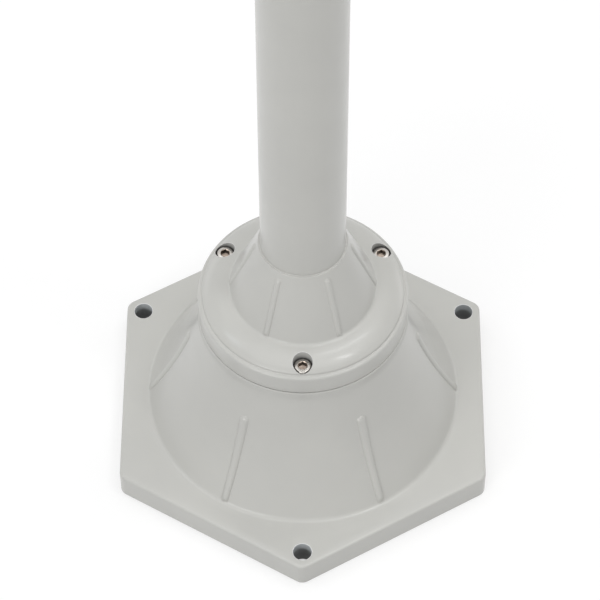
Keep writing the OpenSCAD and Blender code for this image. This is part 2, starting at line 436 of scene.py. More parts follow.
def outline_row(name, points, rule):
    """Closes the outline; rule(r, z) says how hexagonal it is, how much rib and how far to its head."""
    flat = np.array(points)
    tangent = unit(unit(np.roll(flat, -1, 0) - flat) + unit(flat - np.roll(flat, 1, 0)))
    rows = [(r, z, *rule(r, z), t[1], -t[0]) for (r, z), t in zip(points, tangent)]
    print(name, len(rows), "points")
    return row_of_points(name, dict(zip(OUTLINE_VALUES, zip(*rows, rows[0]))))


def rib_steps(width, radius):
    """Angles across half a rib, ever closer towards its steep side, and two more on the skin beyond."""
    shares = [math.sin(math.radians(90) * k / 8) for k in range(9)] + [1.08, 1.3]
    return [share * (width / 2) / radius for share in shares]


def angle_row(name, dense):
    """Angles round the axis in wide steps, with finer ones on both sides of each line of dense."""
    angles = [k * ANGLE_STEP for k in range(round(ROUND / ANGLE_STEP))]
    for line, steps in dense:
        angles = [a for a in angles if abs((a - line + math.pi) % ROUND - math.pi) > steps[-1]]
        angles += [(line + side * step) % ROUND for step in steps for side in (-1, 1)]
    ordered = sorted({round(a, 7) for a in angles})
    ordered.append(ordered[0] + ROUND)
    print(name, len(ordered), "angles")
    return link(bpy.data.objects.new(name, row_of_points(name, {"angle": ordered})))


print(round(ROUND / ANGLE_STEP), "wide steps go once round")

# %% [markdown]
# ## Materials
# The castings and the tube share one finish: a light warm grey powder coat, satin, with the fine orange
# peel that baked powder always has. Its colour drifts by a few per cent over the skin. The walls of holes
# and pockets get painted shade, a colour that darkens with depth. The screws are bright stainless steel;
# in their sockets the walls get painted shade and the floors a warm tint with painted light. Every pattern
# is noise on the object's own coordinates, so it needs no unwrapping and no image.

# %% Helpers for materials
def new_material(name):
    material = bpy.data.materials.new(name)
    material.use_nodes = True
    return material, material.node_tree, material.node_tree.nodes["Principled BSDF"]


def object_place(tree):
    return tree.nodes.new("ShaderNodeTexCoord").outputs["Object"]


def noise(tree, scale, detail=3.0, roughness=0.5):
    """Noise on the object's own coordinates; scale is in features per metre."""
    node = add_node(tree, "ShaderNodeTexNoise", {
        "Vector": object_place(tree), "Scale": scale, "Detail": detail, "Roughness": roughness})
    return Formula(tree, node.outputs["Fac"])


def grey(level):
    return (level, level, level)


def ramp(tree, factor, stops):
    node = add_node(tree, "ShaderNodeValToRGB", {"Fac": factor})
    elements = node.color_ramp.elements
    while len(elements) < len(stops):
        elements.new(0.5)
    for element, (place, colour) in zip(elements, stops):
        element.position = place
        element.color = (*colour, 1.0)
    return node.outputs["Color"]


def bump(tree, shader, layers):
    """Chains bump nodes; each layer is (height, strength, depth in metres)."""
    normal = {}
    for height, strength, depth in layers:
        node = add_node(tree, "ShaderNodeBump", {
            "Height": height, "Strength": strength, "Distance": depth, **normal})
        normal = {"Normal": node.outputs["Normal"]}
    feed_all(tree, shader, normal)


# %% Powder coat and bare metal
def powder_coat(name, peel_depth):
    """Satin powder coat; a casting's skin under it is a little rougher than a drawn tube's."""
    material, tree, shader = new_material(name)
    feed_all(tree, shader, {
        "Base Color": ramp(tree, noise(tree, 9.0, 4.0, 0.6), [
            (0.30, (0.505, 0.503, 0.478)), (0.70, (0.545, 0.542, 0.512))]),
        "Roughness": ramp(tree, noise(tree, 60.0), [(0.30, grey(0.36)), (0.75, grey(0.44))]),
        "Specular IOR Level": 0.5,
        "Coat Weight": 0.5,
        "Coat Roughness": 0.16,
    })
    bump(tree, shader, [
        (noise(tree, 420.0, 2.0), 0.35, peel_depth),
        (noise(tree, 35.0, 2.0), 0.25, 4 * peel_depth),
    ])
    return material


def bare_metal(name, low, high, rough, grain):
    """Metal whose colour drifts from low to high, with a fine grain of this depth."""
    material, tree, shader = new_material(name)
    feed_all(tree, shader, {
        "Base Color": ramp(tree, noise(tree, 140.0, 4.0), [(0.3, low), (0.7, high)]),
        "Roughness": ramp(tree, noise(tree, 600.0, 2.0), [
            (0.3, grey(rough - 0.06)), (0.7, grey(rough + 0.06))]),
        "Metallic": 1.0,
    })
    bump(tree, shader, [(noise(tree, 900.0, 2.0), 0.3, grain)])
    return material


COAT_CAST = powder_coat("powder_coat_on_casting", 0.03 * MM)
COAT_TUBE = powder_coat("powder_coat_on_tube", 0.015 * MM)
STAINLESS = bare_metal("stainless_steel", (0.44, 0.42, 0.395), (0.54, 0.515, 0.485), 0.24, 0.01 * MM)
# Screw sockets: the walls are near black as painted shade; the floors are lighter and warm, painted light
# with a warm tint.
SOCKET_WALL_PAINTED_SHADE = bare_metal(
    "dirty_socket_wall", (0.06, 0.055, 0.05), (0.12, 0.11, 0.10), 0.45, 0.02 * MM)
SOCKET_FLOOR_LIGHT_AND_TINT = bare_metal(
    "dull_socket_floor", (0.48, 0.39, 0.33), (0.68, 0.58, 0.49), 0.36, 0.02 * MM)
MILL_TUBE = bare_metal("mill_finish_aluminium", (0.55, 0.56, 0.57), (0.66, 0.67, 0.68), 0.38, 0.02 * MM)
BRASS = bare_metal("turned_brass", (0.62, 0.42, 0.16), (0.74, 0.53, 0.22), 0.28, 0.01 * MM)
print("materials:", [m.name for m in bpy.data.materials])

# %% Painted shade in holes and pockets
def painted_shade_coat(name, top, stops):
    """Painted shade that darkens with depth below top; stops are (depth in millimetres, colour)."""
    material, tree, shader = new_material(name)
    split = add_node(tree, "ShaderNodeSeparateXYZ", {"Vector": object_place(tree)})
    deepest = stops[-1][0]
    depth = (top - Formula(tree, split.outputs["Z"])) / (deepest * MM)
    ragged = (noise(tree, 260.0) - 0.5) * 0.1
    feed_all(tree, shader, {
        "Base Color": ramp(tree, depth + ragged, [(down / deepest, colour) for down, colour in stops]),
        "Roughness": 0.55,
    })
    bump(tree, shader, [(noise(tree, 900.0, 2.0), 0.4, 0.05 * MM)])
    return material


CREASE = (52 * MM, BELL_H + 27 * MM)           # (r, z) where the collar's crown meets its cone
# The walls of the anchor and tapped holes get painted shade that deepens below the plate's top.
HOLE_PAINTED_SHADE = painted_shade_coat("thin_coat_in_holes", PLATE_H, [
    (0.0, (0.50, 0.52, 0.53)), (5.5, (0.46, 0.48, 0.49)),
    (8.0, (0.24, 0.25, 0.25)), (14.0, (0.15, 0.15, 0.15)),
])
# The pocket walls get painted shade that deepens below the crease.
POCKET_PAINTED_SHADE = painted_shade_coat("thin_coat_in_pockets", CREASE[1], [
    (0.0, (0.52, 0.52, 0.50)), (4.0, (0.45, 0.45, 0.43)), (7.0, (0.30, 0.30, 0.29)),
    (9.0, (0.10, 0.10, 0.10)), (14.0, (0.05, 0.05, 0.05)),
])
print("holes darken below", round(PLATE_H / MM, 1), "mm and", round(CREASE[1] / MM, 1), "mm")

# %% [markdown]
# ## Turning and cutting
# Turned parts are an outline swept round Z. A drilled hole is cut out of the finished skin with a solid
# of the hole's own shape, whose mouth is flared a little so that the edge comes out rounded, as a
# painted edge is. The Manifold solver keeps the result watertight even on a dense mesh.

# %% Make a mesh
SAME_POINT = 0.0001 * MM


def mesh_piece(name, vertices, faces):
    """A closed mesh whose faces point outwards."""
    mesh = bpy.data.meshes.new(name)
    mesh.from_pydata([tuple(v) for v in vertices], [], faces)
    mesh.validate()
    work = bmesh.new()
    work.from_mesh(mesh)
    bmesh.ops.remove_doubles(work, verts=work.verts, dist=SAME_POINT)
    bmesh.ops.recalc_face_normals(work, faces=work.faces)
    work.to_mesh(mesh)
    work.free()
    for polygon in mesh.polygons:
        polygon.use_smooth = True
    return link(bpy.data.objects.new(name, mesh))


def quads(columns, rows):
    """Faces between neighbouring columns of points that go once round."""
    faces = []
    for s in range(columns):
        here, there = s * rows, (s + 1) % columns * rows
        faces += [(here + k, there + k, there + k + 1, here + k + 1) for k in range(rows - 1)]
    return faces


def turned(name, outline, segments=96, radius_at=None):
    """Turns an open outline that starts and ends on the axis, or a closed one, round Z."""
    vertices = []
    rows = len(outline)
    for s in range(segments):
        a = ROUND * s / segments
        for row, (r, z) in enumerate(outline):
            lift = radius_at(row, a) if radius_at else 0.0
            vertices.append(((r + lift) * math.cos(a), (r + lift) * math.sin(a), z))
    return mesh_piece(name, vertices, quads(segments, rows))


def move(piece, matrix):
    piece.data.transform(matrix)
    piece.data.update()
    return piece


def at(angle, radius, height):
    """A place on a circle round the axis, turned to face outwards."""
    return Matrix.Rotation(angle, 4, "Z") @ Matrix.Translation((radius, 0, height))


def thirds(offset=0.0):
    return [FIRST + offset + k * ROUND / 3 for k in range(3)]


CORNERS = [FIRST + k * math.pi / 3 for k in range(6)]
RIB_LINES = [FIRST + math.radians(30) + k * math.pi / 3 for k in range(6)]
print("screws at", [round(math.degrees(line)) for line in thirds()], "degrees")

# %% Join, cut and finish
WELD = 0.0002 * MM
SLIVER = 0.00001 * MM


def boolean(piece, tools, operation):
    """Joins or cuts a piece with solids, one after the other, and removes them."""
    for tool in tools:
        tool.data.materials.clear()
        for material in piece.data.materials:
            tool.data.materials.append(material)
        modifier = piece.modifiers.new(tool.name, "BOOLEAN")
        modifier.operation = operation
        modifier.solver = "MANIFOLD"
        modifier.object = tool
        graph = bpy.context.evaluated_depsgraph_get()
        mesh = bpy.data.meshes.new_from_object(piece.evaluated_get(graph))
        piece.modifiers.clear()
        piece.data = mesh
        bpy.data.objects.remove(tool)


def is_closed(piece):
    work = bmesh.new()
    work.from_mesh(piece.data)
    loose = sum(1 for e in work.edges if len(e.link_faces) != 2)
    volume = work.calc_volume(signed=True)
    work.free()
    return loose == 0 and volume > 0, volume


def finish_piece(piece, nodes, sharp=32):
    """Welds, marks edges sharper than this many degrees, reports, and hands the piece to the frame."""
    work = bmesh.new()
    work.from_mesh(piece.data)
    bmesh.ops.remove_doubles(work, verts=work.verts, dist=WELD)
    bmesh.ops.dissolve_degenerate(work, edges=work.edges, dist=SLIVER)
    work.to_mesh(piece.data)
    work.free()
    for polygon in piece.data.polygons:
        polygon.use_smooth = True
    piece.data.set_sharp_from_angle(angle=math.radians(sharp))
    closed, volume = is_closed(piece)
    piece.data.calc_loop_triangles()
    print(piece.name, "closed" if closed else "OPEN", round(volume * 1e6, 1), "cm3,",
          len(piece.data.loop_triangles), "triangles")
    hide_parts(*nodes)
    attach(piece, "root")


def repaint(piece, material, test):
    """Gives the faces whose centre and normal pass the test another material."""
    piece.data.materials.append(material)
    index = len(piece.data.materials) - 1
    for polygon in piece.data.polygons:
        if test(polygon.center, polygon.normal):
            polygon.material_index = index


print("points closer than", round(WELD / MM, 4), "mm are welded")

# %% Shapes to join or cut with
MOUTH_ARC = [math.radians(a) for a in range(0, 91, 18)]
PAST = 1 * MM                                  # how far a cutter reaches past the face it cuts


def rod(name, radius, low, high, edge=0.8 * MM):
    """A solid cylinder along Z whose two ends have rounded edges."""
    corners = [(0, low, 0), (radius, low, edge), (radius, high, edge), (0, high, 0)]
    return turned(name, rounded(corners, 3), 64)


def hole_cutter(name, radius, low, high, mouths, edge, segments=72):
    """A cutter for a round hole; at each height of mouths it flares, so the hole's edge is rounded."""
    def flared(height, up, arc):
        return [(radius + edge * (1 - math.cos(a)), height + up * edge * (1 - math.sin(a))) for a in arc]

    profile = [(0, low), (radius, low)]
    if low in mouths:
        profile = [(0, low - PAST), (radius + edge, low - PAST), *flared(low, 1, MOUTH_ARC[::-1])]
    if high in mouths:
        profile += [*flared(high, -1, MOUTH_ARC), (radius + edge, high + PAST), (0, high + PAST)]
    else:
        profile += [(radius, high), (0, high)]
    return turned(name, profile, segments)


def hexagon_prism(name, half_width, low, high):
    reach = half_width / math.cos(SECTOR)
    ring = [(reach * math.cos(a), reach * math.sin(a)) for a in CORNERS]
    vertices = [(x, y, z) for z in (low, high) for x, y in ring]
    faces = [list(range(6))[::-1], list(range(6, 12))]
    faces += [(k, (k + 1) % 6, (k + 1) % 6 + 6, k + 6) for k in range(6)]
    return mesh_piece(name, vertices, faces)


def block(name, low, high):
    """A plain box between two corners."""
    vertices = [(x, y, z) for x in (low[0], high[0]) for y in (low[1], high[1]) for z in (low[2], high[2])]
    faces = [(0, 1, 3, 2), (4, 6, 7, 5), (0, 4, 5, 1), (2, 3, 7, 6), (0, 2, 6, 4), (1, 5, 7, 3)]
    return mesh_piece(name, vertices, faces)


# %% [markdown]
# ## The base casting
# Plate and bell are one casting, hollow underneath. The outline starts on the ground at the rim, goes up
# the side, in over the plate, up the flare to the deck, and back down the inside. Near the rim the section
# is fully hexagonal; over the plate it fades to a circle before the foot of the bell. A rib is narrowest at
# its foot and a little wider towards its head.

# %% The base outline
BELL_RIB_W = 5.8 * MM                          # across its roots, at the foot
BELL_RIB_H = 2.0 * MM
BELL_RIB_TAPER = 0.7                           # how fast a rib widens as the bell narrows
BELL_RIB_HEAD = BELL_RIB_W / 2 * 1.24          # radius of its head, by that taper
FLARE_SLANT = 1.08                             # way along the flare for each step up, near the heads
HALF_W = PLATE_W / 2
CORNER_R = 8 * MM
ROUND_UNTIL = BELL_FOOT_R + 5 * MM             # inside this radius the plate's section is a circle
HEXAGON_FROM = HALF_W - 10 * MM                # and outside this one the full hexagon
RIM_EDGE = 0.6 * MM
PLATE_EDGE = 2 * MM
FOOT_FILLET = 4 * MM
INNER_FILLET = 3 * MM
DECK_FILLET = 4 * MM
DECK_EDGE = 0.5 * MM
DECK_HOLE_R = 50.3 * MM
LAND_R = 75.9 * MM                             # the short straight land at the bell's top
LAND_H = 2 * MM
LAND_EDGE = 0.9 * MM
RIB_HEAD_Z = BELL_H - 35 * MM


def fade(value, start, stop):
    """0 before start, 1 past stop, with a soft change between."""
    t = min(1.0, max(0.0, (value - start) / (stop - start)))
    return t * t * (3 - 2 * t)


def base_rule(r, z):
    """How hexagonal the base is at a point of its outline, how much rib, and how far to the rib's head."""
    hexagon = min(1.0, max(0.0, (r - ROUND_UNTIL) / (HEXAGON_FROM - ROUND_UNTIL)))
    outside = r > flare(min(max(z, PLATE_H), BELL_H)) - 1 * MM
    on_flare = outside and PLATE_H - 1 * MM < z < BELL_H - LAND_H and hexagon == 0
    rib = fade(z, PLATE_H + 0.2 * MM, PLATE_H + 3.5 * MM) if on_flare else 0.0
    return hexagon, rib, (RIB_HEAD_Z - BELL_RIB_HEAD - z) * FLARE_SLANT


def base_outline():
    """Up the rim, in over the plate, up the flare, over the deck and back down the inside."""
    under, skin = BELL_H - DECK_T, PLATE_H - PLATE_WALL
    rim_r = HALF_W - PLATE_WALL
    over_foot, land = PLATE_H + 12 * MM, BELL_H - LAND_H
    down_from, down_to = under - 10 * MM, skin + 10 * MM
    rim_and_foot = rounded([
        (rim_r + PLATE_WALL / 2, 0, 0), (HALF_W, 0, RIM_EDGE), (HALF_W, PLATE_H, PLATE_EDGE),
        (flare(PLATE_H), PLATE_H, FOOT_FILLET), (flare(over_foot), over_foot, 0),
    ])[:-1]
    low = flare_points(rim_and_foot[-1][1] + 0.8 * MM, RIB_HEAD_Z - 9 * MM, 26)
    head = flare_points(RIB_HEAD_Z - 8.5 * MM, RIB_HEAD_Z + 2 * MM, 26)
    high = [(max(r, LAND_R), z) for r, z in flare_points(RIB_HEAD_Z + 4 * MM, land, 14)]
    deck = rounded([
        (LAND_R, land, 0), (LAND_R, BELL_H, LAND_EDGE), (DECK_HOLE_R, BELL_H, DECK_EDGE),
        (DECK_HOLE_R, under, DECK_EDGE), (flare(under, BELL_WALL), under, DECK_FILLET),
        (flare(down_from, BELL_WALL), down_from, 0),
    ], 4)[1:-1]
    inside = flare_points(down_from, down_to, 20, BELL_WALL)
    rim = rounded([
        (flare(down_to, BELL_WALL), down_to, 0), (flare(skin, BELL_WALL), skin, INNER_FILLET),
        (rim_r, skin, INNER_FILLET), (rim_r, 0, RIM_EDGE), (rim_r + PLATE_WALL / 2, 0, 0),
    ], 4)[1:-1]
    return spread_out(rim_and_foot + low + head + high + deck + inside + rim, 4 * MM)


print("at the rib heads the bell's radius is", round(flare(RIB_HEAD_Z) / MM, 1), "mm")

# %% Turn the base
CORNER_STEPS = [math.radians(0.25) * k for k in range(9)]


def cast(name, outline, rule, dense, rib):
    """Runs the casting tree; rib is (width, height, radius where it is that wide, taper)."""
    angles = angle_row(name + "_angles", dense)
    piece = run_tree(name, outline_row(name + "_outline", outline, rule), CASTING, {
        "Angles": angles, "Plate half width": HALF_W, "Corner radius": CORNER_R,
        "Rib count": 6.0, "Rib angle": RIB_LINES[0], "Rib half width": rib[0] / 2,
        "Rib height": rib[1], "Rib radius": rib[2], "Rib taper": rib[3], "Material": COAT_CAST,
    })
    bpy.data.objects.remove(angles)
    return piece


base = cast("base", base_outline(), base_rule, [
    *[(line, CORNER_STEPS) for line in CORNERS],
    *[(line, rib_steps(BELL_RIB_W, BELL_FOOT_R)) for line in RIB_LINES],
], (BELL_RIB_W, BELL_RIB_H, BELL_FOOT_R, BELL_RIB_TAPER))

# %% Bosses and webs of the base
BOSS_R = 14 * MM
SCREW_BOSS_R = 8 * MM
SCREW_BOSS_FOOT = BELL_H - 30 * MM
WEB_T = 4 * MM
EARTH_Z = PLATE_H + 16 * MM
EARTH_BOSS_R = 8 * MM
EARTH_BOSS_L = 12 * MM
EARTH_FACE_R = flare(EARTH_Z) - BELL_WALL - EARTH_BOSS_L
HIDDEN = 2 * MM                                # how deep an added solid sits in the casting
# The earth point's own Z points to the column's axis.
EARTH_PLACE = at(FIRST + math.pi / 3, EARTH_FACE_R, EARTH_Z) @ Matrix.Rotation(math.radians(-90), 4, "Y")


def bosses(line):
    """The boss round an anchor hole, kept inside the plate's rim, and the one for a cap screw."""
    anchor = move(rod("boss", BOSS_R, 0, PLATE_H - HIDDEN), at(line, ANCHOR_R, 0))
    boolean(anchor, [hexagon_prism("room", HALF_W - HIDDEN, -PAST, PLATE_H)], "INTERSECT")
    screw = rod("screw_boss", SCREW_BOSS_R, SCREW_BOSS_FOOT, BELL_H - HIDDEN)
    return [anchor, move(screw, at(line, SCREW_R, 0))]


def web(line):
    inner = BELL_FOOT_R - 2 * BELL_WALL
    plate = block("web", (inner, -WEB_T / 2, 0), (HALF_W - HIDDEN, WEB_T / 2, PLATE_H - HIDDEN))
    return move(plate, Matrix.Rotation(line, 4, "Z"))


def earth_boss():
    """A boss that grows out of the bell's inner wall and ends inside its skin."""
    boss = move(rod("earth_boss", EARTH_BOSS_R, -EARTH_BOSS_L - 8 * MM, 0), EARTH_PLACE)
    skin = [(flare(z, HIDDEN), z) for z in evenly(PLATE_H, BELL_H, 24)[:-1]]
    boolean(boss, [turned("room", [(0, PLATE_H), *skin, (0, BELL_H - HIDDEN)])], "INTERSECT")
    return boss


added = [boss for line in thirds() for boss in bosses(line)]
boolean(base, added + [web(line) for line in RIB_LINES] + [earth_boss()], "UNION")
print("added", len(added), "bosses and", len(RIB_LINES), "webs")

# %% Holes of the base
TAP_R = 4.1 * MM
EARTH_HOLE_R = 3.1 * MM
PAINT = 0.05 * MM                              # how far off a hole's wall a face still belongs to it


def drilled_holes(line):
    anchor = hole_cutter("anchor", HOLE_R, 0, PLATE_H, (0, PLATE_H), 0.45 * MM)
    tapped = hole_cutter("tapped", TAP_R, SCREW_BOSS_FOOT, BELL_H, (SCREW_BOSS_FOOT, BELL_H), 0.4 * MM)
    return [move(anchor, at(line, ANCHOR_R, 0)), move(tapped, at(line, SCREW_R, 0))]


def from_line(point, radius):
    """Distance from a point to the nearest of the three upright lines on this circle."""
    return min(math.hypot(point.x - radius * math.cos(a), point.y - radius * math.sin(a)) for a in thirds())


def in_a_drilled_hole(centre, normal):
    in_anchor = from_line(centre, ANCHOR_R) < HOLE_R + PAINT and 1 * MM < centre.z < PLATE_H
    in_tapped = from_line(centre, SCREW_R) < TAP_R + PAINT and centre.z < BELL_H - 0.5 * MM
    return in_anchor or in_tapped


earth_hole = hole_cutter("earth_hole", EARTH_HOLE_R, -EARTH_BOSS_L, 0, (0,), 0.3 * MM, 48)
holes = [hole for line in thirds() for hole in drilled_holes(line)]
boolean(base, holes + [move(earth_hole, EARTH_PLACE)], "DIFFERENCE")
# The hole walls take the painted shade.
repaint(base, HOLE_PAINTED_SHADE, in_a_drilled_hole)
finish_piece(base, ["base_casting"])

# %% [markdown]
# ## The collar
# The collar is the second casting: a ring that sits on the bell, a cone that rises from it to the column,
# and below, out of sight, a sleeve that grips the column's foot. It comes from the same rule as the base,
# with circles only and six slim ribs down the cone. A thin shadow gap parts the ring from the bell. The
# ring has a crown that curves ever more steeply down to a short step and a narrow ledge, and a small
# fillet where it meets the cone. Those edges draw the fine lines of light and shade round the ring.

# %% The collar's crown
CREASE_FILLET = 2.4 * MM
CROWN_R = COLLAR_R - 3.2 * MM                  # where the crown comes down to the ledge
CROWN_MIDDLE = 46 * MM                         # centre of the ellipse that the crown follows
CROWN_REACH = CROWN_R + 2.5 * MM               # where that ellipse would stand upright
LEDGE_Z = BELL_H + 17.8 * MM                   # the narrow flat ledge outside the crown
LEDGE_EDGE = 2.0 * MM
STEP = 1.8 * MM                                # the short upright step from the ledge to the crown
SHOULDER_R = CROWN_R - 2 * MM                  # from the step inwards, the crown's rounded shoulder


def crown_z(r):
    """Height of the ring's crown, an ellipse that falls ever more steeply towards the ledge."""
    def share(radius):
        return math.sqrt(1 - ((radius - CROWN_MIDDLE) / (CROWN_REACH - CROWN_MIDDLE)) ** 2)

    foot = LEDGE_Z + STEP
    part = (CREASE[1] - foot) * (share(r) - share(CROWN_R))
    return foot + part / (share(CREASE[0]) - share(CROWN_R))


print("the crown rises", round((CREASE[1] - LEDGE_Z) / MM, 1), "mm over the ledge")

# %% The collar's outline
SEAM_GAP = 0.9 * MM                            # shadow gap under the collar's rim
SEAM_DEPTH = 3 * MM
LIP_R = 31.6 * MM
SOCKET_R = TUBE_R + 0.3 * MM
SLIP_R = TUBE_R + 0.02 * MM                    # paint has all but closed the gap at the lip
BEAD_R = SLIP_R + 0.08 * MM                    # and runs up the column in a small fillet
BEAD_H = 0.6 * MM
BEAD_FILLET = 0.5 * MM
SLEEVE_R = SOCKET_R + 6 * MM
SLEEVE_FILLET = 3 * MM
WAY_R = 25 * MM
CORE_R = 46 * MM
SPIGOT_R = 50 * MM
SPIGOT_FOOT = BELL_H - 6 * MM
SHOULDER_Z = SLEEVE_FOOT + 4 * MM
EDGE = 0.5 * MM
SPIGOT_EDGE = 0.6 * MM
CONE_RIB_W = 4.6 * MM
CONE_RIB_H = 1.4 * MM
CONE_RIB_HEAD = COLLAR_TOP - 5 * MM


def collar_rule(r, z):
    """No hexagon; a rib on the outside of the cone, and how far it is to the rib's head."""
    cone_r = CREASE[0] + (z - CREASE[1]) / (COLLAR_TOP - CREASE[1]) * (LIP_R - CREASE[0])
    on_cone = r > cone_r - 1 * MM and z > CREASE[1]
    rib = fade(z, CREASE[1], CREASE[1] + 3 * MM) if on_cone else 0.0
    return 0.0, rib, CONE_RIB_HEAD - CONE_RIB_W / 2 - z


def collar_outline():
    """Up the ring, over the crown, up the cone to the lip and down inside the sleeve."""
    seam_r, seam_z = COLLAR_R - SEAM_DEPTH, BELL_H + SEAM_GAP
    side = rounded([
        (CORE_R, SPIGOT_FOOT, 0), (SPIGOT_R, SPIGOT_FOOT, SPIGOT_EDGE), (SPIGOT_R, BELL_H, 0),
        (seam_r, BELL_H, 0), (seam_r, seam_z, 0.3 * MM),
        (COLLAR_R, seam_z, EDGE), (COLLAR_R, LEDGE_Z, LEDGE_EDGE),
        (CROWN_R, LEDGE_Z, 0.8 * MM), (CROWN_R, LEDGE_Z + STEP, 1.5 * MM),
        (SHOULDER_R, crown_z(SHOULDER_R), 0),
    ])[1:-1]
    crown = [(r, crown_z(r)) for r in evenly(SHOULDER_R, CREASE[0] + 2.5 * MM, 28)]
    slope = Vector((LIP_R - CREASE[0], COLLAR_TOP - CREASE[1]))
    on_cone = (CREASE[0] + slope.x * 0.3, CREASE[1] + slope.y * 0.3, 0)
    crease = rounded([
        (*crown[-1], 0), (CREASE[0] + 0.2 * MM, CREASE[1] + 0.4 * MM, CREASE_FILLET), on_cone,
    ], 8)[1:-1]
    lip = rounded([
        on_cone, (LIP_R, COLLAR_TOP, EDGE), (BEAD_R, COLLAR_TOP, BEAD_FILLET),
        (BEAD_R, COLLAR_TOP + BEAD_H, 0), (SLIP_R, COLLAR_TOP + BEAD_H, 0),
        (SLIP_R, COLLAR_TOP - 2 * MM, 0), (SOCKET_R, COLLAR_TOP - 3 * MM, 0),
        (SOCKET_R, SHOULDER_Z, 0.4 * MM), (WAY_R, SHOULDER_Z, EDGE), (WAY_R, SLEEVE_FOOT, EDGE),
        (SLEEVE_R, SLEEVE_FOOT, 1 * MM), (SLEEVE_R, CREASE[1], SLEEVE_FILLET),
        (CORE_R, CREASE[1] - 5 * MM, SLEEVE_FILLET), (CORE_R, SPIGOT_FOOT, SPIGOT_EDGE),
        (SPIGOT_R, SPIGOT_FOOT, 0),
    ], 4)[1:-1]
    (r1, z1), (r2, z2) = crease[-1], lip[0]
    cone = list(zip(evenly(r1, r2, 44), evenly(z1, z2, 44)))[1:-1]
    return spread_out(side + crown + crease + cone + lip, 5 * MM)


collar = cast("collar", collar_outline(), collar_rule, [
    (line, rib_steps(CONE_RIB_W, CREASE[0])) for line in RIB_LINES
], (CONE_RIB_W, CONE_RIB_H, CREASE[0], 0.0))

# %% [markdown]
# ### The collar's pockets
# Each cap screw sits in a deep round pocket that comes out through the curved crown, so the pocket's mouth
# is not flat. A plain cylinder would cut a sharp edge there. This cutter flares at its mouth, and the flare
# follows the crown's height all the way round.

# %% Pockets and holes of the collar
POCKET_R = HEAD_R + 0.6 * MM
POCKET_FLOOR = SCREW_TOP - 8 * MM
POCKET_FILLET = 0.6 * MM
POCKET_CORNER = 0.18 * MM                      # how far the fillet's middle is from the floor and wall
POCKET_EDGE = 0.25 * MM
POCKET_COLUMNS = 96
CLEARANCE_R = 4.5 * MM
SET_R = 4.1 * MM
SET_Z = (set_low.z + set_high.z) / 2


def pocket_cutter(line):
    """A round cutter whose flared mouth rises and falls with the crown it comes out of."""
    vertices = []
    for s in range(POCKET_COLUMNS):
        a = ROUND * s / POCKET_COLUMNS
        column = [
            (0.0, POCKET_FLOOR), (POCKET_R - POCKET_FILLET, POCKET_FLOOR),
            (POCKET_R - POCKET_CORNER, POCKET_FLOOR + POCKET_CORNER),
            (POCKET_R, POCKET_FLOOR + POCKET_FILLET),
        ]
        for step in MOUTH_ARC:
            reach = POCKET_R + POCKET_EDGE * (1 - math.cos(step))
            surface = crown_z(math.hypot(SCREW_R + reach * math.cos(a), reach * math.sin(a)))
            column.append((reach, surface - POCKET_EDGE * (1 - math.sin(step))))
        column += [(POCKET_R + POCKET_EDGE, CREASE[1] + 6 * MM), (0.0, CREASE[1] + 6 * MM)]
        vertices += [(r * math.cos(a), r * math.sin(a), z) for r, z in column]
    cutter = mesh_piece("pocket", vertices, quads(POCKET_COLUMNS, len(column)))
    return move(cutter, at(line, SCREW_R, 0))


def clearance_cutter(line):
    cutter = rod("clearance", CLEARANCE_R, BELL_H - 2 * MM, POCKET_FLOOR + 2 * MM, 0.1 * MM)
    return move(cutter, at(line, SCREW_R, 0))


def set_hole_cutter(line):
    cutter = rod("set_hole", SET_R, SOCKET_R - 2 * MM, SLEEVE_R + 2 * MM, 0.1 * MM)
    return move(cutter, at(line, 0, SET_Z) @ Matrix.Rotation(math.radians(90), 4, "Y"))


def in_a_pocket(centre, normal):
    return centre.z < CREASE[1] and from_line(centre, SCREW_R) < POCKET_R + PAINT


cutters = [make(line) for line in thirds() for make in (pocket_cutter, clearance_cutter)]
cutters += [set_hole_cutter(line) for line in thirds(math.pi / 3)]
boolean(collar, cutters, "DIFFERENCE")
# The pocket walls take the painted shade.
repaint(collar, POCKET_PAINTED_SHADE, in_a_pocket)
finish_piece(collar, ["collar_casting"])

# %% [markdown]
# ## The column
# The column is a drawn aluminium tube with a 3 mm wall. It is painted outside and bare inside, and its
# ends are sawn and eased. It is turned from its own outline, so it needs no rule.

# %% The column tube
TUBE_EASE = 0.5 * MM
tube_outline = spread_out(rounded([
    (TUBE_BORE, tube_low.z, TUBE_EASE), (TUBE_R, tube_low.z, TUBE_EASE),
    (TUBE_R, tube_high.z, TUBE_EASE), (TUBE_BORE, tube_high.z, TUBE_EASE),
], 3), 20 * MM)
column = turned("column", tube_outline + tube_outline[:1], 180)
column.data.materials.append(COAT_TUBE)


def in_the_bore(centre, normal):
    facing_out = normal.x * centre.x + normal.y * centre.y
    return math.hypot(centre.x, centre.y) < TUBE_BORE + 0.7 * MM and facing_out < 0.2 * MM


repaint(column, MILL_TUBE, in_the_bore)
finish_piece(column, ["column_tube"])

# %% [markdown]
# ## Screws
# Three cap screws hold the collar down. They are turned and rolled from stainless bar: a round head with a
# bevelled rim, a hexagon socket with a bevelled mouth and a drilled bottom, and a rolled thread. One
# master screw is made with care, and Geometry Nodes set it on its circle three times. The set screws that
# clamp the column's foot are made in the same way, lying on their sides.

